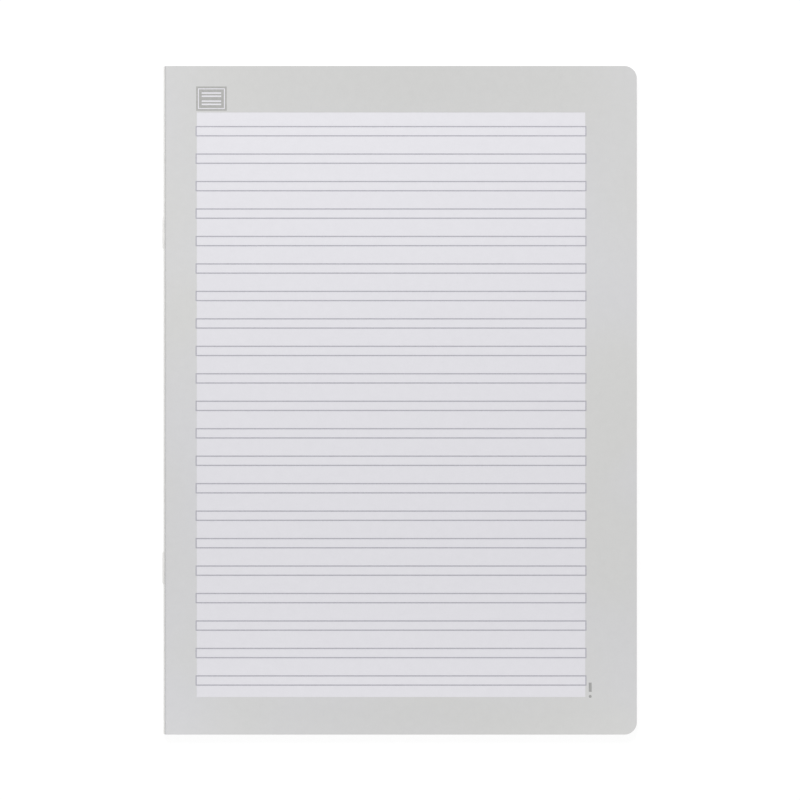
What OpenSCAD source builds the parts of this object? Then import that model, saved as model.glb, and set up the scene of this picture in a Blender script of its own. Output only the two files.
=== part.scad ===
// Stapled notebook of a standard sheet size, lying on a table with its front cover turned right round behind it.
// +X runs from the spine to the fore-edge, +Y to the head of the page and +Z up out of the ruled page.
// The origin is in the middle of the book's outline, on the surface that it lies on.

/* [Leaves] */
// Width of the closed book, from the outside of its spine to the fore-edge
book_w = 210; // [190:1:240]
// Height of the book, from head to foot
book_h = 297; // [270:1:330]
// Radius of the two corners at the fore-edge
corner_r = 5.5; // [1:0.5:12]
// Number of folded sheets, each of two leaves
sheet_count = 24; // [12:1:40]
// Thickness of one leaf
leaf_t = 0.11; // [0.08:0.01:0.2]
// Radius to which the folds are pressed at both edges of the spine
fold_r = 1; // [0.4:0.1:1.2]

/* [Cover] */
// Thickness of the cover card
cover_t = 0.35; // [0.2:0.05:0.6]
// Gap between the back cover and the front cover turned behind it
cover_gap = 0.1; // [0.1:0.05:0.4]
// Space that a crease takes beside its fold line
crease_gap = 0.1; // [0.05:0.05:0.3]
// How much tighter the cover is bent than the leaves inside it
bend_ease = 0.2; // [0.05:0.05:0.3]

/* [Ruled field] */
// Grey margin at the spine
margin_spine = 14.2; // [10:0.1:30]
// Grey margin at the fore-edge
margin_fore = 22.9; // [10:0.1:35]
// Grey margin at the head
margin_head = 20.6; // [16:0.1:40]
// Grey margin at the foot
margin_foot = 16.7; // [8:0.1:40]
// Distance between one pair of rules and the next
rule_pitch = 12.2; // [8:0.1:20]
// Distance between the two rules of a pair
rule_gap = 4.1; // [2:0.1:7]
// Distance from the head of the field to its first rule
rule_start = 6.3; // [2:0.1:20]
// Least distance from the last rule to the foot of the field
rule_end = 3; // [1:0.5:15]
// Width of a rule
rule_w = 0.5; // [0.1:0.05:0.6]
// How far the closing ticks of a pair stand outside the field
tick_out = 0.3; // [0.2:0.05:1.5]
// Width of a closing tick
tick_w = 0.5; // [0.2:0.05:0.6]
// Thickness at which each printed colour is built
ink_t = 0.05; // [0.02:0.01:0.08]

/* [Header panel] */
// Width of the grey panel over the field
panel_w = 13.6; // [8:0.1:40]
// Height of the panel
panel_h = 10.8; // [9.6:0.1:14]
// Distance from the panel to the head of the field
panel_gap = 0.7; // [0.3:0.1:1.5]
// Distance from the panel's edge to its light keyline
keyline_in = 0.8; // [0.4:0.1:1.5]
// Width of the keyline
keyline_w = 0.45; // [0.2:0.05:0.6]
// Distance from the keyline to the ends of the light bars inside it
bar_in = 1.2; // [0.5:0.1:1.5]
// Width of a bar
bar_w = 0.7; // [0.3:0.1:0.7]
// Distance between the two bars of a pair
bar_gap = 1.4; // [0.9:0.1:2]
// Distance from one pair of bars to the next
bar_pitch = 3.6; // [3:0.1:4]

/* [Edge mark] */
// Distance from the closing ticks to the middle of the printed mark
mark_out = 1.9; // [1.2:0.1:5]
// Width of the mark
mark_w = 1.3; // [0.5:0.1:1.5]
// Length of the mark's bar
mark_l = 4.1; // [2:0.1:12]
// Height of the mark's dot over the foot of the field
mark_rise = 0.3; // [0:0.1:20]
// Distance from the middle of the dot to the bar
mark_gap = 2; // [1.2:0.1:5]

/* [Staples] */
// Diameter of the stitching wire
wire_d = 0.5; // [0.3:0.05:0.6]
// Distance between the two legs of a staple
crown_w = 12; // [8:0.5:20]
// Distance from the end of the spine to the middle of the nearer staple
staple_in = 74; // [30:1:110]
// Gap between the two clinched ends
clinch_gap = 2; // [1:0.5:4]
// Room left around the wire inside the leaves and the cover
wire_room = 0.1; // [0.08:0.01:0.2]
// Room left between a crown and the card that turns past it
crown_room = 0.2; // [0.1:0.05:0.4]

/* [Hidden] */

// Colours of the paper, its printed tints, the card and the wire
paper_rgb = [0.89, 0.88, 0.91];
tint_rgb = [0.81, 0.81, 0.81];
rule_rgb = [0.67, 0.67, 0.7];
panel_rgb = [0.67, 0.67, 0.67];
mark_rgb = [0.62, 0.62, 0.62];
card_rgb = [0.84, 0.84, 0.85];
wire_rgb = [0.72, 0.73, 0.75];

// Heights over the surface that the book lies on
back_z = cover_t + cover_gap;
page_z = back_z + cover_t;
block_h = 2 * sheet_count * leaf_t;
page_top = page_z + block_h;
staple_z = page_z + block_h / 2;

// Places across the book: the fold of the cover, the fold of the leaves, and the fore-edge
fold_x = -(book_w - max(cover_t, wire_d)) / 2;
page_x = fold_x + cover_t;
fore_x = fold_x + book_w;
overrun = 1;

// The ruled field and what is printed from its edges
field_x = page_x + margin_spine;
field_w = fore_x - margin_fore - field_x;
field_top = book_h / 2 - margin_head;
field_h = book_h - margin_head - margin_foot;
row_room = field_h - rule_start - rule_gap - rule_end;
row_count = floor(row_room / rule_pitch) + 1;
panel_x = field_x - tick_out;
mark_x = field_x + field_w + tick_out + mark_out;
dot_y = field_top - field_h + mark_rise;

// The cover's bend round the spine, and the heights between which its front half is folded down
bend_in = fold_r - bend_ease;
bend_out = bend_in + cover_t;
crease_top = staple_z - crease_gap;
strip_z = 2 * cover_t + crease_gap;

// The wire: its radius, its elbows, and the middle of its clinched ends inside the centre fold
wire_r = wire_d / 2;
elbow_r = 0.6 * wire_d;
crown_x = fold_x - wire_r;
clinch_x = page_x + sheet_count * leaf_t + wire_r;
clinch_l = (crown_w - clinch_gap) / 2;
staple_y = book_h / 2 - staple_in;

// Outline of a leaf or a cover from above, from the given spine edge to the round fore-edge corners
module outline(spine_edge) {
    w = fore_x - spine_edge;
    translate([spine_edge, -book_h / 2]) {
        square([w - corner_r, book_h]);
        translate([0, corner_r]) square([w, book_h - 2 * corner_r]);
        for (y = [corner_r, book_h - corner_r])
            translate([w - corner_r, y]) circle(r = corner_r, $fn = 96);
    }
}

// A section drawn across the book, carried along the whole spine
module along_spine() {
    rotate([90, 0, 0]) linear_extrude(book_h, center = true) children();
}

// Section of the leaves, with both edges of the spine pressed round
module leaves_section() {
    translate([page_x, page_z]) {
        translate([fold_r, 0]) square([fore_x - page_x - fold_r, block_h]);
        translate([0, fold_r]) square([2 * fold_r, block_h - 2 * fold_r]);
        for (z = [fold_r, block_h - fold_r])
            translate([fold_r, z]) circle(r = fold_r, $fn = 64);
    }
}

// Section of the back cover, bent up round the lower half of the spine
module back_section() {
    translate([fold_x + bend_out, back_z]) square([book_w - bend_out, cover_t]);
    translate([fold_x, back_z + bend_out]) square([cover_t, crease_top - back_z - bend_out]);
    intersection() {
        translate([fold_x, back_z]) square(bend_out);
        translate([fold_x + bend_out, back_z + bend_out]) difference() {
            circle(r = bend_out, $fn = 64);
            circle(r = bend_in, $fn = 64);
        }
    }
}

// Holes that a staple's two legs make, from outside the cover to the clinched ends
module leg_holes(y) {
    for (side = [-1, 1])
        translate([fold_x - overrun, y + side * crown_w / 2, staple_z]) rotate([0, 90, 0])
            cylinder(r = wire_r + wire_room, h = clinch_x - fold_x + overrun, $fn = 32);
}

// Space in the centre fold where the clinched ends lie
module clinch_slot(y) {
    wide = 2 * (wire_r + wire_room);
    translate([clinch_x, y, staple_z]) cube([wide, crown_w + wide, wide], center = true);
}

// The solid of all the leaves, pierced for both staples
module page_block() {
    color(paper_rgb) difference() {
        intersection() {
            along_spine() leaves_section();
            translate([0, 0, page_z]) linear_extrude(block_h) outline(page_x);
        }
        for (y = [-staple_y, staple_y]) {
            leg_holes(y);
            clinch_slot(y);
        }
    }
}

// One printed colour, lying on the top leaf
module ink() {
    translate([0, 0, page_top]) linear_extrude(ink_t) children();
}

// Outline of each pair of rules with its closing ticks, from their middles out by across and by up
module rule_boxes(across, up) {
    for (row = [0 : row_count - 1])
        translate([field_x - tick_out - across, field_top - rule_start - rule_gap - row * rule_pitch - up])
            square([field_w + 2 * (tick_out + across), rule_gap + 2 * up]);
}

// Outline of the header panel
module panel_outline() {
    translate([panel_x, field_top + panel_gap]) square([panel_w, panel_h]);
}

// Bar and dot of the mark beside the field
module mark_outline() {
    translate([mark_x, dot_y]) circle(d = mark_w, $fn = 32);
    translate([mark_x - mark_w / 2, dot_y + mark_gap]) square([mark_w, mark_l]);
}

// Grey tint that covers the page up to its trimmed edges and leaves the field bare
module margin_tint() {
    color(tint_rgb) ink() difference() {
        outline(page_x + fold_r);
        translate([field_x, field_top - field_h]) square([field_w, field_h]);
        rule_boxes(tick_w / 2, rule_w / 2);
        panel_outline();
        mark_outline();
    }
}

// The pairs of rules, each closed by a tick at both ends
module rule_lines() {
    color(rule_rgb) ink() difference() {
        rule_boxes(tick_w / 2, rule_w / 2);
        rule_boxes(-tick_w / 2, -rule_w / 2);
    }
}

// Light keyline inside the header panel
module keyline() {
    middle = [panel_x + panel_w / 2, field_top + panel_gap + panel_h / 2];
    outer = [panel_w - 2 * keyline_in, panel_h - 2 * keyline_in];
    translate(middle) difference() {
        square(outer, center = true);
        square([outer[0] - 2 * keyline_w, outer[1] - 2 * keyline_w], center = true);
    }
}

// Two pairs of light bars in the middle of the header panel
module panel_bars() {
    bar_l = panel_w - 2 * (keyline_in + keyline_w + bar_in);
    for (pair = [-1, 1], bar = [-1, 1])
        translate([panel_x + panel_w / 2,
                   field_top + panel_gap + panel_h / 2 + (pair * bar_pitch + bar * bar_gap) / 2])
            square([bar_l, bar_w], center = true);
}

// Darker panel over the field, with bare paper for its keyline and bars
module header_panel() {
    color(panel_rgb) ink() difference() {
        panel_outline();
        keyline();
        panel_bars();
    }
}

// Small printed mark beside the foot of the field
module edge_mark() {
    color(mark_rgb) ink() mark_outline();
}

// Back half of the cover card, up to the fold line at the staples
module back_cover() {
    color(card_rgb) difference() {
        intersection() {
            along_spine() back_section();
            linear_extrude(page_top) outline(fold_x);
        }
        for (y = [-staple_y, staple_y]) leg_holes(y);
    }
}

// Front half of the spine card, folded down outside the back half and relieved at the crowns
module spine_strip() {
    notch_l = crown_w + wire_d + 2 * crown_room;
    notch_h = wire_d + crown_room;
    color(card_rgb) difference() {
        translate([fold_x - cover_t, -book_h / 2, strip_z])
            cube([cover_t, book_h, crease_top - strip_z]);
        for (y = [-staple_y, staple_y])
            translate([fold_x - cover_t - overrun, y - notch_l / 2, staple_z - notch_h])
                cube([cover_t + 2 * overrun, notch_l, notch_h]);
    }
}

// Front cover, turned right round so that its inner face lies on the table
module front_cover() {
    color(card_rgb) linear_extrude(cover_t) outline(fold_x);
}

// Quarter turn of wire, beginning at the given angle about the middle of its bend
module elbow(begin) {
    rotate([0, 0, begin]) rotate_extrude(angle = 90, $fn = 48)
        translate([elbow_r, 0]) circle(r = wire_r, $fn = 32);
}

// Half a staple, from the middle of its crown to its clinched tip
module half_staple() {
    leg_y = crown_w / 2;
    translate([crown_x, 0, 0]) rotate([-90, 0, 0]) cylinder(r = wire_r, h = leg_y - elbow_r, $fn = 32);
    translate([crown_x + elbow_r, leg_y - elbow_r, 0]) elbow(90);
    translate([crown_x + elbow_r, leg_y, 0]) rotate([0, 90, 0])
        cylinder(r = wire_r, h = clinch_x - crown_x - 2 * elbow_r, $fn = 32);
    translate([clinch_x - elbow_r, leg_y - elbow_r, 0]) elbow(0);
    translate([clinch_x, leg_y - clinch_l, 0]) rotate([-90, 0, 0])
        cylinder(r = wire_r, h = clinch_l - elbow_r, $fn = 32);
}

// A whole staple of bent wire, its crown outside the fold and its ends clinched in the centre
module staple(y) {
    color(wire_rgb) translate([0, y, staple_z]) {
        half_staple();
        mirror([0, 1, 0]) half_staple();
    }
}

module staple_head() {
    staple(staple_y);
}

module staple_foot() {
    staple(-staple_y);
}

page_block();
margin_tint();
rule_lines();
header_panel();
edge_mark();
back_cover();
spine_strip();
front_cover();
staple_head();
staple_foot();
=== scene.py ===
import math
import bpy
import bmesh
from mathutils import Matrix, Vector


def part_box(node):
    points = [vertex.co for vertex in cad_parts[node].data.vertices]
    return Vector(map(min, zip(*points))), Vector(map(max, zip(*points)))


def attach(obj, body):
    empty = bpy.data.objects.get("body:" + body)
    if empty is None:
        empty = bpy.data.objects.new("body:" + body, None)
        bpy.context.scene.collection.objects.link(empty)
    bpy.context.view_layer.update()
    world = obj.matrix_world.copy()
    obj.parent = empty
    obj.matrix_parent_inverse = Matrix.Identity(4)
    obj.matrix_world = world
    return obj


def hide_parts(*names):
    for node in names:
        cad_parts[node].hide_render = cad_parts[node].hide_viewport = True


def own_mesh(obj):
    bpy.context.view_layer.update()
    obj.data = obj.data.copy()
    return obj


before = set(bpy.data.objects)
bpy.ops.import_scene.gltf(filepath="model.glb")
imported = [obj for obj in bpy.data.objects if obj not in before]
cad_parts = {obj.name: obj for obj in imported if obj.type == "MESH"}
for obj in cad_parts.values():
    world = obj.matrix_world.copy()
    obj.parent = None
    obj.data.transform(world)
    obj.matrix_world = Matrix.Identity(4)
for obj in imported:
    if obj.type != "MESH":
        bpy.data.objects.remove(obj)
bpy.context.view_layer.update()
print("frame loaded:", len(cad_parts), "CAD nodes")

# places that the pieces share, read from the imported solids
pageLow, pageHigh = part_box("page_block")
tintLow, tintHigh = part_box("margin_tint")
backLow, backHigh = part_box("back_cover")
stripLow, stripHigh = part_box("spine_strip")
coverLow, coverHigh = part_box("front_cover")
stapleLow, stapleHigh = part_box("staple_head")
cardThickness = coverHigh.z - coverLow.z
foldX = stripHigh.x                            # both folds of the card lie in this plane
stapleZ = (pageLow.z + pageHigh.z) / 2         # the staples, and the card's fold beside them
sharpAngle = math.radians(35)                  # edges sharper than this stay sharp in the shading


# nodes written as plain arithmetic

def feed(socket, value):                       # links a term to a socket, or sets a plain value there
    if isinstance(value, Term):
        value.tree.links.new(value.socket, socket)
    else:
        socket.default_value = value


def mathNode(tree, operation, *values, clamp=False):
    node = tree.nodes.new("ShaderNodeMath")
    node.operation = operation
    node.use_clamp = clamp
    for place, value in zip(node.inputs, values):
        feed(place, value)
    return Term(tree, node.outputs[0])


class Term:                                    # a node's output that takes part in a formula
    def __init__(self, tree, socket):
        self.tree = tree
        self.socket = socket

    def __add__(self, other):
        return mathNode(self.tree, "ADD", self, other)

    def __sub__(self, other):
        return mathNode(self.tree, "SUBTRACT", self, other)

    def __rsub__(self, other):
        return mathNode(self.tree, "SUBTRACT", other, self)

    def __mul__(self, other):
        return mathNode(self.tree, "MULTIPLY", self, other)

    def __truediv__(self, other):
        return mathNode(self.tree, "DIVIDE", self, other)

    def atLeast(self, other):
        return mathNode(self.tree, "MAXIMUM", self, other)

    def atMost(self, other):
        return mathNode(self.tree, "MINIMUM", self, other)

    def above(self, other):
        return mathNode(self.tree, "GREATER_THAN", self, other)

    def below(self, other):
        return mathNode(self.tree, "LESS_THAN", self, other)

    def size(self):
        return mathNode(self.tree, "ABSOLUTE", self)

    def sign(self):
        return mathNode(self.tree, "SIGN", self)

    def sine(self):
        return mathNode(self.tree, "SINE", self)

    def cosine(self):
        return mathNode(self.tree, "COSINE", self)

    def share(self, start, end):               # 0 at start, 1 at end, and held there beyond them
        return mathNode(self.tree, "DIVIDE", self - start, end - start, clamp=True)


def splitPlace(tree, socket):                  # the X, Y and Z of a place, as three terms
    node = tree.nodes.new("ShaderNodeSeparateXYZ")
    tree.links.new(socket, node.inputs[0])
    return [Term(tree, output) for output in node.outputs]


# colours and finishes

def linear(red, green, blue):                  # screen levels from 0 to 255, as a shader takes them
    levels = [level / 255 for level in (red, green, blue)]
    curve = [level / 12.92 if level <= 0.04045 else ((level + 0.055) / 1.055) ** 2.4 for level in levels]
    return (*curve, 1.0)


def newFinish(name):                           # a material with its shader, and the object's own place
    finish = bpy.data.materials.new(name)
    finish.use_nodes = True
    tree = finish.node_tree
    tree.nodes.clear()
    shader = tree.nodes.new("ShaderNodeBsdfPrincipled")
    output = tree.nodes.new("ShaderNodeOutputMaterial")
    tree.links.new(shader.outputs["BSDF"], output.inputs["Surface"])
    place = tree.nodes.new("ShaderNodeTexCoord").outputs["Object"]
    return finish, tree, shader, place


def noise(tree, place, grain, stretch=(1, 1, 1), detail=2.0):      # grain is the size of a speck, in metres
    mapping = tree.nodes.new("ShaderNodeMapping")
    mapping.inputs["Scale"].default_value = [side / grain for side in stretch]
    tree.links.new(place, mapping.inputs["Vector"])
    texture = tree.nodes.new("ShaderNodeTexNoise")
    texture.inputs["Scale"].default_value = 1.0
    texture.inputs["Detail"].default_value = detail
    tree.links.new(mapping.outputs["Vector"], texture.inputs["Vector"])
    return Term(tree, texture.outputs["Fac"])


def between(tree, amount, first, second):      # a colour from first to second, each a colour or a term
    mix = tree.nodes.new("ShaderNodeMix")
    mix.data_type = "RGBA"
    feed(mix.inputs[0], amount)
    feed(mix.inputs[6], first)
    feed(mix.inputs[7], second)
    return Term(tree, mix.outputs[2])


def dent(tree, shader, height, depth, strength):
    bump = tree.nodes.new("ShaderNodeBump")
    bump.inputs["Strength"].default_value = strength
    bump.inputs["Distance"].default_value = depth
    feed(bump.inputs["Height"], height)
    tree.links.new(bump.outputs["Normal"], shader.inputs["Normal"])


def shade(colour, levels):                     # the same colour, some screen levels lighter or darker
    return linear(*[channel + levels for channel in colour])


def mottled(tree, amount, colour, unevenness):     # a colour that varies by so many levels in all
    spread = unevenness / 2
    return between(tree, amount, shade(colour, -spread), shade(colour, spread))


pagePaper = {
    "field": (226, 225, 230),      # bare paper, a cool white
    "margin": (212, 212, 214),     # grey tint on the margins
    "warmMargin": (211, 211, 210), # where the tint prints a little warmer
    "shadedMargin": (202, 202, 201), # painted shade: the tint darkened across the head and the foot
    "headShadeRange": (0.06, 0.14),   # heights between which the painted shade deepens towards the head
    "footShadeRange": (-0.115, -0.14),
    "footShadeStrength": 0.6,              # how dark the painted shade gets at the foot, beside the head
    "headShadeReach": 0.14,             # how far to each side of the middle the painted shade reaches
    "footShadeReach": 0.1,
    "cutEdge": (233, 232, 233),    # the trimmed edges of the leaves
    "darkestEdge": 13.0,           # screen levels that the darkest leaf's edge lies under that
    "lightestEdge": 2.0,           # and that the lightest one lies over it
    "edgeGrain": 0.0012,           # length of the rough places along a trimmed edge
    "cloud": 0.0035,               # size of the soft clouds in the sheet
    "fibre": 0.0006,               # size of its fibres
    "drift": 0.06,                 # how far apart the tint's warmer places lie
    "unevenness": 3.0,             # screen levels from the lightest to the darkest place
    "toothDepth": 0.000012,
    "toothStrength": 0.25,
    "roughness": 0.9,
    "gloss": 0.15,
}


def sheetUnevenness(tree, place):              # 0 to 1: soft clouds with fibres in them
    clouds = noise(tree, place, pagePaper["cloud"], detail=3.0)
    fibres = noise(tree, place, pagePaper["fibre"], stretch=(1, 0.45, 1))
    return (clouds * 0.55 + fibres * 0.45).share(0.3, 0.7)


def paintedShadeAmount(tree, place):                    # 0 to 1: how much painted shade darkens the margins' tint, at the head and the foot
    across, up = splitPlace(tree, place)[:2]
    head = up.share(*pagePaper["headShadeRange"])
    foot = up.share(*pagePaper["footShadeRange"]) * pagePaper["footShadeStrength"]
    squared = across * across
    headSides = (1 - squared / pagePaper["headShadeReach"] ** 2).atLeast(0)
    footSides = (1 - squared / pagePaper["footShadeReach"] ** 2).atLeast(0)
    return head * headSides + foot * footSides


def tintedPaper(tree, place, uneven):          # the margins' grey, drifting a little towards warm, and darkened at the head and the foot by painted shade
    drift = noise(tree, place, pagePaper["drift"], detail=1.0).share(0.35, 0.65)
    # depth is the share of painted shade: the tint darkened at the head and the foot
    depth = paintedShadeAmount(tree, place)

    def tint(levels):
        cool = shade(pagePaper["margin"], levels)
        warm = shade(pagePaper["warmMargin"], levels)
        # painted shade: the tint at its darkest, mixed in across the head and the foot
        deep = shade(pagePaper["shadedMargin"], levels)
        return between(tree, depth, between(tree, drift, cool, warm), deep)

    spread = pagePaper["unevenness"] / 2
    return between(tree, uneven, tint(-spread), tint(spread))


def paperSurface(tree, shader, place):
    shader.inputs["Roughness"].default_value = pagePaper["roughness"]
    shader.inputs["Specular IOR Level"].default_value = pagePaper["gloss"]
    tooth = noise(tree, place, pagePaper["fibre"] / 2, detail=3.0)
    dent(tree, shader, tooth, pagePaper["toothDepth"], pagePaper["toothStrength"])


def leafPaper():                               # white, with the tint carried on round the fold
    finish, tree, shader, place = newFinish("leafPaper")
    uneven = sheetUnevenness(tree, place)
    acrossPage = splitPlace(tree, place)[0]
    onFold = acrossPage.below(tintLow.x)
    bare = mottled(tree, uneven, pagePaper["field"], pagePaper["unevenness"])
    feed(shader.inputs["Base Color"], between(tree, onFold, bare, tintedPaper(tree, place, uneven)))
    paperSurface(tree, shader, place)
    return finish


def marginTint():
    finish, tree, shader, place = newFinish("marginTint")
    uneven = sheetUnevenness(tree, place)
    feed(shader.inputs["Base Color"], tintedPaper(tree, place, uneven))
    paperSurface(tree, shader, place)
    return finish


def trimmedEdges():                            # the cut ends of the leaves, each of its own tone
    finish, tree, shader, place = newFinish("trimmedEdges")
    tone = tree.nodes.new("ShaderNodeAttribute")
    tone.attribute_name = "leafTone"
    rough = noise(tree, place, pagePaper["edgeGrain"], stretch=(1, 1, 0.1))
    amount = (Term(tree, tone.outputs["Fac"]) * 0.7 + rough * 0.3).share(0.1, 0.9)
    darkest = shade(pagePaper["cutEdge"], -pagePaper["darkestEdge"])
    lightest = shade(pagePaper["cutEdge"], pagePaper["lightestEdge"])
    feed(shader.inputs["Base Color"], between(tree, amount, darkest, lightest))
    paperSurface(tree, shader, place)
    return finish


printing = {
    "rule": (177, 176, 184),       # the pairs of rules
    "panel": (172, 172, 170),      # the panel over the field
    "mark": (163, 163, 162),       # the small mark beside the field
    "speckle": 0.0009,             # size of the uneven places in the ink
    "unevenness": 10.0,
    "roughness": 0.75,
    "gloss": 0.2,
}


def printedInk(name, colour):
    finish, tree, shader, place = newFinish(name)
    speckle = noise(tree, place, printing["speckle"], detail=3.0).share(0.3, 0.7)
    feed(shader.inputs["Base Color"], mottled(tree, speckle, colour, printing["unevenness"]))
    shader.inputs["Roughness"].default_value = printing["roughness"]
    shader.inputs["Specular IOR Level"].default_value = printing["gloss"]
    return finish


cardStock = {
    "outside": (214, 214, 215),    # smooth, pale grey
    "inside": (235, 234, 232),     # bare board
    "fibre": 0.0008,
    "cloud": 0.006,
    "unevenness": 4.0,
    "outsideRoughness": 0.42,
    "insideRoughness": 0.85,
    "roughnessSpread": 0.04,
    "gloss": 0.35,
    "grainDepth": 0.00002,
    "grainStrength": 0.3,
    "backBend": 0.0008,            # inner radius of the solid's bend from spine to back cover
}


def coverCard(name, isOutside):                # isOutside turns X, Y and Z into 1 on the outer face
    finish, tree, shader, place = newFinish(name)
    outside = isOutside(*splitPlace(tree, place))
    clouds = noise(tree, place, cardStock["cloud"], detail=3.0)
    fibres = noise(tree, place, cardStock["fibre"], stretch=(1, 0.4, 1))
    uneven = (clouds * 0.5 + fibres * 0.5).share(0.3, 0.7)
    smooth = mottled(tree, uneven, cardStock["outside"], cardStock["unevenness"])
    bare = mottled(tree, uneven, cardStock["inside"], cardStock["unevenness"])
    feed(shader.inputs["Base Color"], between(tree, outside, bare, smooth))
    sheen = cardStock["outsideRoughness"] - cardStock["insideRoughness"]
    roughness = outside * sheen + cardStock["insideRoughness"] + fibres * cardStock["roughnessSpread"]
    feed(shader.inputs["Roughness"], roughness)
    shader.inputs["Specular IOR Level"].default_value = cardStock["gloss"]
    dent(tree, shader, fibres, cardStock["grainDepth"], cardStock["grainStrength"])
    return finish


stapleSteel = {
    "colour": (193, 195, 199),
    "drawn": 0.00006,              # width of the drawing lines along the wire
    "unevenness": 26.0,            # screen levels from the darkest line to the lightest
    "roughness": 0.28,
    "roughnessSpread": 0.14,
    "lineDepth": 0.000004,
    "lineStrength": 0.3,
}


def drawnWire():
    finish, tree, shader, place = newFinish("drawnWire")
    lines = noise(tree, place, stapleSteel["drawn"], stretch=(1, 0.04, 1), detail=3.0)
    steel = mottled(tree, lines, stapleSteel["colour"], stapleSteel["unevenness"])
    feed(shader.inputs["Base Color"], steel)
    feed(shader.inputs["Roughness"], lines * stapleSteel["roughnessSpread"] + stapleSteel["roughness"])
    shader.inputs["Metallic"].default_value = 1.0
    dent(tree, shader, lines, stapleSteel["lineDepth"], stapleSteel["lineStrength"])
    return finish


def paint(nodeName, finish):                   # gives a CAD node its finish
    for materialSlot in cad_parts[nodeName].material_slots:
        materialSlot.material = finish


backBendOut = cardStock["backBend"] + cardThickness
bendX = backLow.x + backBendOut
bendZ = backLow.z + backBendOut


def backOutside(x, y, z):                      # further from the bend's middle than half the card
    acrossBend = (bendX - x).atLeast(0)
    downBend = (bendZ - z).atLeast(0)
    squared = acrossBend * acrossBend + downBend * downBend
    return squared.above((backBendOut - cardThickness / 2) ** 2)


paint("margin_tint", marginTint())
paint("rule_lines", printedInk("ruleInk", printing["rule"]))
paint("header_panel", printedInk("panelInk", printing["panel"]))
paint("edge_mark", printedInk("markInk", printing["mark"]))
paint("back_cover", coverCard("backCard", backOutside))
paint("front_cover", coverCard("frontCard", lambda x, y, z: z.above(coverHigh.z - cardThickness / 2)))
paint("spine_strip", coverCard("spineCard", lambda x, y, z: x.above(foldX - cardThickness / 2)))
wireFinish = drawnWire()
paint("staple_head", wireFinish)
paint("staple_foot", wireFinish)
print("finishes made:", len(bpy.data.materials), "materials")


# the folded sheets, nested in each other

leaves = {
    "sheets": 24,                  # folded sheets, two leaves each
    "foldRadius": 0.001,           # pressed folds of the outermost sheet
    "cornerRadius": 0.0055,        # the two fore-edge corners
    "filling": 0.9,                # share of its room that a leaf fills
    "scatter": 0.00006,            # how far a leaf may end short of the trimmed edge
    "seed": 7,
    "roundest": 0.9,               # share of half a fold's depth that its bend may take
    "bendSteps": 6,                # faces round a quarter of a fold
    "flatSteps": 3,                # faces from the fold to the fore-edge
    "cornerSteps": 8,              # faces round a corner
    "lengthSteps": 2,              # faces from the middle of the page to a corner
}


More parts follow.
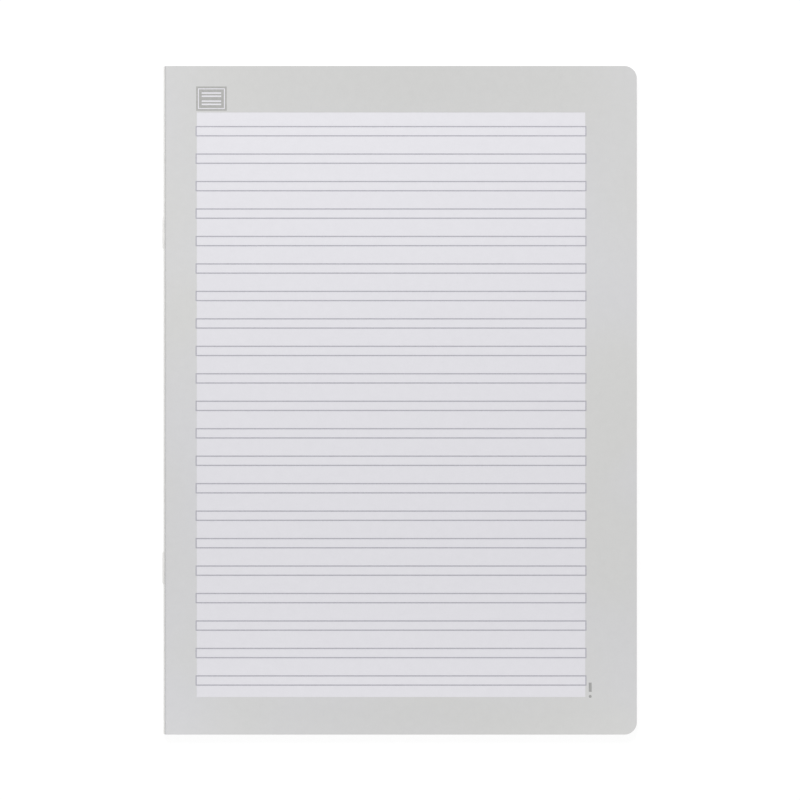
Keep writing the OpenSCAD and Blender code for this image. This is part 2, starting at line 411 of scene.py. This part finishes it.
def nestedSheets():
    tree = bpy.data.node_groups.new("nestedSheets", "GeometryNodeTree")
    tree.interface.new_socket("Geometry", in_out="OUTPUT", socket_type="NodeSocketGeometry")
    halfColumns = 1 + leaves["bendSteps"] + leaves["flatSteps"]
    halfRows = leaves["lengthSteps"] + leaves["cornerSteps"]
    sizes = {
        "Sheets": leaves["sheets"],
        "Seed": leaves["seed"],
        "Leaf thickness": (pageHigh.z - pageLow.z) / (2 * leaves["sheets"]),
        "Fold radius": leaves["foldRadius"],
        "Corner radius": leaves["cornerRadius"],
        "Scatter": leaves["scatter"],
        "Spine X": pageLow.x,
        "Fore-edge X": pageHigh.x,
        "Half height": pageHigh.y,
        "Middle Z": stapleZ,
    }
    sockets = {}
    for name, size in sizes.items():
        kind = "NodeSocketInt" if isinstance(size, int) else "NodeSocketFloat"
        sockets[name] = tree.interface.new_socket(name, in_out="INPUT", socket_type=kind)
    sockets["Paper"] = tree.interface.new_socket("Paper", in_out="INPUT", socket_type="NodeSocketMaterial")
    groupInput = tree.nodes.new("NodeGroupInput")
    given = {name: Term(tree, groupInput.outputs[name]) for name in sockets}
    link = tree.links.new

    # one flat grid for each sheet, numbered from the outermost
    line = tree.nodes.new("GeometryNodeMeshLine")
    feed(line.inputs["Count"], given["Sheets"])
    line.inputs["Offset"].default_value = (0, 0, 0)
    grid = tree.nodes.new("GeometryNodeMeshGrid")
    for socket, value in zip(grid.inputs, (2.0, 2.0, 2 * halfColumns + 1, 2 * halfRows + 1)):
        socket.default_value = value
    copies = tree.nodes.new("GeometryNodeInstanceOnPoints")
    link(line.outputs["Mesh"], copies.inputs["Points"])
    link(grid.outputs["Mesh"], copies.inputs["Instance"])
    numbered = tree.nodes.new("GeometryNodeStoreNamedAttribute")
    numbered.domain = "INSTANCE"
    numbered.inputs["Name"].default_value = "sheet"
    link(copies.outputs["Instances"], numbered.inputs["Geometry"])
    link(tree.nodes.new("GeometryNodeInputIndex").outputs["Index"], numbered.inputs["Value"])
    realised = tree.nodes.new("GeometryNodeRealizeInstances")
    link(numbered.outputs["Geometry"], realised.inputs["Geometry"])

    sheetNumber = tree.nodes.new("GeometryNodeInputNamedAttribute")
    sheetNumber.inputs["Name"].default_value = "sheet"
    sheet = Term(tree, sheetNumber.outputs["Attribute"])
    u, v = splitPlace(tree, tree.nodes.new("GeometryNodeInputPosition").outputs["Position"])[:2]

    def random(identity, low, high, seedStep):     # the same for all points with one identity
        node = tree.nodes.new("FunctionNodeRandomValue")
        node.inputs[2].default_value = low
        feed(node.inputs[3], high)
        feed(node.inputs["ID"], identity)
        feed(node.inputs["Seed"], given["Seed"] + seedStep)
        return Term(tree, node.outputs[1])

    # the section of a sheet: straight at the spine, a quarter bend, then the leaf
    thickness = given["Leaf thickness"]
    inset = (sheet + 0.5) * thickness
    halfDepth = given["Sheets"] * thickness - inset
    radius = (given["Fold radius"] - inset).atLeast(thickness / 2).atMost(halfDepth * leaves["roundest"])
    bendFrom = 1 / halfColumns
    bendTo = (1 + leaves["bendSteps"]) / halfColumns
    turn = u.size().share(bendFrom, bendTo) * (math.pi / 2)
    straight = u.size().share(0, bendFrom) * (halfDepth - radius)
    along = u.size().share(bendTo, 1)

    # the length of a sheet: straight, then round the corners
    cornerFrom = leaves["lengthSteps"] / halfRows
    cornerTurn = v.size().share(cornerFrom, 1) * (math.pi / 2)
    cornerInset = (1 - cornerTurn.cosine()) * given["Corner radius"]
    leafEnd = given["Half height"] - random(sheet * 2 + v.above(0), 0.0, given["Scatter"], 1)
    upPage = v.size().share(0, cornerFrom) * (leafEnd - given["Corner radius"])
    upPage = upPage + cornerTurn.sine() * given["Corner radius"]

    # both together as a place
    leaf = sheet * 2 + u.above(0)
    bendEnd = given["Spine X"] + inset + radius
    foreEdge = given["Fore-edge X"] - random(leaf, 0.0, given["Scatter"], 2) - cornerInset
    place = tree.nodes.new("ShaderNodeCombineXYZ")
    feed(place.inputs["X"], bendEnd - radius * turn.cosine() + along * (foreEdge - bendEnd))
    feed(place.inputs["Y"], v.sign() * upPage)
    feed(place.inputs["Z"], given["Middle Z"] + u.sign() * (straight + radius * turn.sine()))

    # a tone for each leaf, taken before the sheets are folded
    toned = tree.nodes.new("GeometryNodeStoreNamedAttribute")
    toned.inputs["Name"].default_value = "leafTone"
    link(realised.outputs["Geometry"], toned.inputs["Geometry"])
    feed(toned.inputs["Value"], random(leaf, 0.0, 1.0, 3))
    folded = tree.nodes.new("GeometryNodeSetPosition")
    link(toned.outputs["Geometry"], folded.inputs["Geometry"])
    link(place.outputs["Vector"], folded.inputs["Position"])

    finished = tree.nodes.new("GeometryNodeSetMaterial")
    link(folded.outputs["Geometry"], finished.inputs["Geometry"])
    feed(finished.inputs["Material"], given["Paper"])
    groupOutput = tree.nodes.new("NodeGroupOutput")
    link(finished.outputs["Geometry"], groupOutput.inputs["Geometry"])
    return tree, sockets, sizes


def asMesh(source, name):                      # what an object's modifiers make of it, as a plain mesh
    view = bpy.context.evaluated_depsgraph_get()
    mesh = bpy.data.meshes.new_from_object(source.evaluated_get(view), preserve_all_data_layers=True,
                                           depsgraph=view)
    mesh.name = name
    return mesh


def newPiece(name, mesh):
    piece = bpy.data.objects.new(name, mesh)
    bpy.context.scene.collection.objects.link(piece)
    return piece


def foldLeaves():
    tree, sockets, sizes = nestedSheets()
    paper = leafPaper()
    piece = newPiece("foldedLeaves", bpy.data.meshes.new("foldedLeaves"))
    modifier = piece.modifiers.new("nestedSheets", "NODES")
    modifier.node_group = tree
    for name, size in sizes.items():
        modifier[sockets[name].identifier] = size
    modifier[sockets["Paper"].identifier] = paper
    surfaces = asMesh(piece, "foldedLeaves")
    piece.modifiers.clear()
    piece.data = surfaces
    surfaces.materials.clear()
    surfaces.materials.append(paper)
    surfaces.materials.append(trimmedEdges())

    walls = piece.modifiers.new("leafThickness", "SOLIDIFY")
    walls.thickness = leaves["filling"] * sizes["Leaf thickness"]
    walls.offset = 0
    walls.use_even_offset = True
    walls.material_offset_rim = 1
    piece.data = asMesh(piece, "foldedLeaves")
    piece.modifiers.clear()
    piece.data.shade_smooth()
    piece.data.set_sharp_from_angle(angle=sharpAngle)
    return piece


foldedLeaves = foldLeaves()
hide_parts("page_block")
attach(foldedLeaves, "book")
print("leaves folded:", len(foldedLeaves.data.polygons), "faces")


# the card's two folds

creases = {
    "steps": 10,                   # faces round a turn
    "clear": 0.00002,              # keeps a crease's faces off those of the card
    "crownRoom": 0.0002,           # from a staple's crown to the ends of the notch that it stands in
    "crownTaper": 0.0016,          # length in which the card closes again past a crown
    "crownDrop": 0.0007,           # how far below the staples it lies flat again, and the notch ends
    "taperSteps": 6,
}


def drawnOut(name, runs, finish):              # each run is a row of Y places with an X and Z outline
    shape = bmesh.new()
    for run in runs:
        rings = [[shape.verts.new((x, y, z)) for x, z in outline] for y, outline in run]
        shape.faces.new(rings[0])
        shape.faces.new(rings[-1])
        for ring, after in zip(rings, rings[1:]):
            for here in range(len(ring)):
                there = (here + 1) % len(ring)
                shape.faces.new((ring[here], ring[there], after[there], after[here]))
    bmesh.ops.recalc_face_normals(shape, faces=shape.faces)
    mesh = bpy.data.meshes.new(name)
    shape.to_mesh(mesh)
    shape.free()
    mesh.materials.append(finish)
    mesh.shade_smooth()
    mesh.set_sharp_from_angle(angle=sharpAngle)
    return newPiece(name, mesh)


def arc(middleX, middleZ, radius, firstDegrees, lastDegrees):
    points = []
    for step in range(creases["steps"] + 1):
        angle = math.radians(firstDegrees + (lastDegrees - firstDegrees) * step / creases["steps"])
        points.append((middleX + radius * math.cos(angle), middleZ + radius * math.sin(angle)))
    return points


def eased(share):                              # 0 to 1 with a soft start and end
    return (1 - math.cos(math.pi * share)) / 2


def overCrown(bulge):                          # outline of the card: 0 folded flat, 1 over a staple's crown
    clear = creases["clear"]
    wireRadius = (foldX - stapleLow.x) / 2
    middle = foldX - bulge * wireRadius
    inner = clear + bulge * wireRadius
    outer = inner + cardThickness - 4 * clear
    outerEnd = foldX - cardThickness + clear
    innerEnd = foldX - clear
    outerSide, innerSide = [], []
    for step in range(1, creases["steps"] + 1):
        down = step / creases["steps"]
        z = stapleZ - down * creases["crownDrop"]
        outerSide.append((middle - outer + eased(down) * (outerEnd - middle + outer), z))
        innerSide.append((middle - inner + eased(down) * (innerEnd - middle + inner), z))
    over = [(middle + outer, stripHigh.z)] + arc(middle, stapleZ, outer, 0, 180)
    under = arc(middle, stapleZ, inner, 180, 0) + [(middle + inner, stripHigh.z)]
    return over + outerSide + innerSide[::-1] + under


def crownRun(crownY, crownHalf):               # the card over one crown, closing past both of its ends
    tapers = []
    for step in range(creases["taperSteps"] + 1):
        past = step / creases["taperSteps"]
        tapers.append((crownHalf + past * creases["crownTaper"], overCrown(1 - eased(past))))
    head = [(crownY + reach, outline) for reach, outline in tapers]
    foot = [(crownY - reach, outline) for reach, outline in tapers]
    return foot[::-1] + head


def foldCard():
    clear = creases["clear"]
    innerFace = foldX + cardThickness
    outerFace = foldX - cardThickness
    bendTop = stapleZ + cardThickness
    notchEnd = stapleZ - creases["crownDrop"]

    def isOutside(x, y, z):                    # the faces that lie against each other, under the bend
        return (x - foldX).size().below(2.5 * clear) * z.below(bendTop - 3 * clear)

    folded = coverCard("creaseCard", isOutside)
    crownY = (stapleLow.y + stapleHigh.y) / 2
    crownHalf = (stapleHigh.y - stapleLow.y) / 2

    # over the staple line, the half of the bend that ends the back cover
    backHalf = [(foldX + clear, stripHigh.z), (innerFace, stripHigh.z)]
    backHalf += arc(foldX + clear, stapleZ, cardThickness - clear, 0, 90)
    backRun = [(stripLow.y + clear, backHalf), (stripHigh.y - clear, backHalf)]
    backCrease = drawnOut("backCrease", [backRun], folded)
    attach(backCrease, "book")

    # the half that ends the spine, tucked into the other one until the spine swings out
    tucked = foldX + 2 * clear
    frontHalf = [(tucked, stripHigh.z), (outerFace, stripHigh.z)]
    frontHalf += arc(foldX, stapleZ, cardThickness, 180, 90) + [(tucked, bendTop - clear)]
    frontRuns = [[(stripLow.y + 2 * clear, frontHalf), (stripHigh.y - 2 * clear, frontHalf)]]

    # with it the card in the strip's notches, which shows once the crowns no longer stand in them
    notched = [(tucked, stripHigh.z), (outerFace + 2 * clear, stripHigh.z)]
    notched += [(outerFace + 2 * clear, notchEnd), (tucked, notchEnd)]
    reach = crownHalf + creases["crownRoom"] - clear
    for middle in (-crownY, crownY):
        frontRuns.append([(middle - reach, notched), (middle + reach, notched)])
    frontCrease = drawnOut("frontCrease", frontRuns, folded)
    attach(frontCrease, "spine")
    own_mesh(frontCrease)

    # over the crowns of the staples
    crownRuns = [crownRun(middle, crownHalf) for middle in (-crownY, crownY)]
    crownCard = drawnOut("crownCard", crownRuns, folded)
    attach(crownCard, "book")
    widest = innerFace - min(x for x, z in overCrown(1))
    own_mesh(crownCard)

    # from the spine to the front cover
    corner = [(foldX - clear, stripLow.z), (outerFace, stripLow.z)]
    corner += arc(foldX - clear, coverHigh.z, cardThickness - clear, 180, 270)
    coverCrease = drawnOut("coverCrease", [[(stripLow.y, corner), (stripHigh.y, corner)]], folded)
    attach(coverCrease, "spine")
    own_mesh(coverCrease)

    pieces = [backCrease, frontCrease, crownCard, coverCrease]
    return pieces


def printFold(finish):                         # the margins' tint, carried on over the fold of the top leaf
    clear = creases["clear"]
    radius = leaves["foldRadius"]
    middleX = pageLow.x + radius
    middleZ = pageHigh.z - radius
    thinning = (tintHigh.z - middleZ) / radius     # as thick as the tint on top, and nothing at the side
    outer = [(x, middleZ + thinning * (z - middleZ)) for x, z in arc(middleX, middleZ, radius, 90, 180)]
    inner = arc(middleX, middleZ, radius - clear, 180, 90)
    lowest = stapleZ + cardThickness + clear
    outline = outer + [(pageLow.x, lowest), (pageLow.x + clear, lowest)] + inner
    run = [(pageLow.y + clear, outline), (pageHigh.y - clear, outline)]
    piece = drawnOut("foldTint", [run], finish)
    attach(piece, "book")
    return piece


print("card folded:", ", ".join(piece.name for piece in foldCard()))
print("fold printed:", printFold(bpy.data.materials["marginTint"]).name)


# floor, light and camera

studio = {
    "floorSide": 6.0,
    "floorBounce": 0.8,            # what the floor throws back at the book
    "floorGlow": 0.88,             # what the camera sees of it before its light is added
    "floorTone": 0.16,             # how strongly its light and shadow show
    "ambient": 0.484,
    "lamps": [                     # name, place, aim, width, depth and power
        ("windowLamp", (-0.1, 0.6, 0.9), (0.0, 0.0, 0.0), 0.4, 0.4, 6.9),
        ("footLamp", (0.0, -0.2, 0.06), (0.0, -0.1, 0.0), 0.7, 0.05, 0.072),
    ],
}


def seenRay(tree):                             # 1 for what the camera, a gloss or glass sees directly
    rays = tree.nodes.new("ShaderNodeLightPath").outputs
    camera = Term(tree, rays["Is Camera Ray"])
    return camera.atLeast(Term(tree, rays["Is Glossy Ray"])).atLeast(Term(tree, rays["Is Transmission Ray"]))


def whiteRoom():
    world = bpy.data.worlds.new("whiteRoom")
    world.use_nodes = True
    tree = world.node_tree
    background = tree.nodes["Background"]
    background.inputs["Color"].default_value = (1, 1, 1, 1)
    seen = seenRay(tree)
    feed(background.inputs["Strength"], seen * (1 - studio["ambient"]) + studio["ambient"])
    bpy.context.scene.world = world


def whiteFloor():
    side = studio["floorSide"] / 2
    mesh = bpy.data.meshes.new("floor")
    corners = [(-side, -side, 0), (side, -side, 0), (side, side, 0), (-side, side, 0)]
    mesh.from_pydata(corners, [], [(0, 1, 2, 3)])
    finish = bpy.data.materials.new("paleFloor")
    finish.use_nodes = True
    tree = finish.node_tree
    tree.nodes.clear()
    bounce = tree.nodes.new("ShaderNodeBsdfDiffuse")
    bounce.inputs["Color"].default_value = (*[studio["floorBounce"]] * 3, 1)
    shadow = tree.nodes.new("ShaderNodeBsdfDiffuse")
    shadow.inputs["Color"].default_value = (*[studio["floorTone"]] * 3, 1)
    glow = tree.nodes.new("ShaderNodeEmission")
    glow.inputs["Strength"].default_value = studio["floorGlow"]
    shown = tree.nodes.new("ShaderNodeAddShader")
    tree.links.new(shadow.outputs["BSDF"], shown.inputs[0])
    tree.links.new(glow.outputs["Emission"], shown.inputs[1])
    mix = tree.nodes.new("ShaderNodeMixShader")
    feed(mix.inputs[0], seenRay(tree))
    tree.links.new(bounce.outputs["BSDF"], mix.inputs[1])
    tree.links.new(shown.outputs["Shader"], mix.inputs[2])
    output = tree.nodes.new("ShaderNodeOutputMaterial")
    tree.links.new(mix.outputs["Shader"], output.inputs["Surface"])
    mesh.materials.append(finish)
    floor = newPiece("floor", mesh)


def hangLamp(name, place, aim, width, depth, power):
    lamp = bpy.data.lights.new(name, "AREA")
    lamp.shape = "RECTANGLE"
    lamp.size = width
    lamp.size_y = depth
    lamp.energy = power
    holder = newPiece(name, lamp)
    holder.location = place
    holder.visible_camera = False
    away = Vector(place) - Vector(aim)
    holder.rotation_euler = away.to_track_quat("Z", "Y").to_euler()


whiteRoom()
whiteFloor()
for lampFacts in studio["lamps"]:
    hangLamp(*lampFacts)

overhead = {
    "lens": 200.0,                 # a long lens, straight above the page
    "sensor": 36.0,
    "viewWidth": 0.35535,          # what the square picture takes in at the height of the page
    "middle": (0.00006, 0.00014),
}
camera = bpy.data.cameras.new("overhead")
camera.lens = overhead["lens"]
camera.sensor_width = overhead["sensor"]
camera.clip_start = 0.05
camera.clip_end = 20.0
stand = newPiece("overhead", camera)
rise = overhead["viewWidth"] * overhead["lens"] / overhead["sensor"]
stand.location = (*overhead["middle"], tintHigh.z + rise)
bpy.context.scene.camera = stand
bpy.context.scene.view_settings.view_transform = "Standard"
print("studio set:", len(studio["lamps"]), "lamps, camera", round(rise, 3), "m over the page")
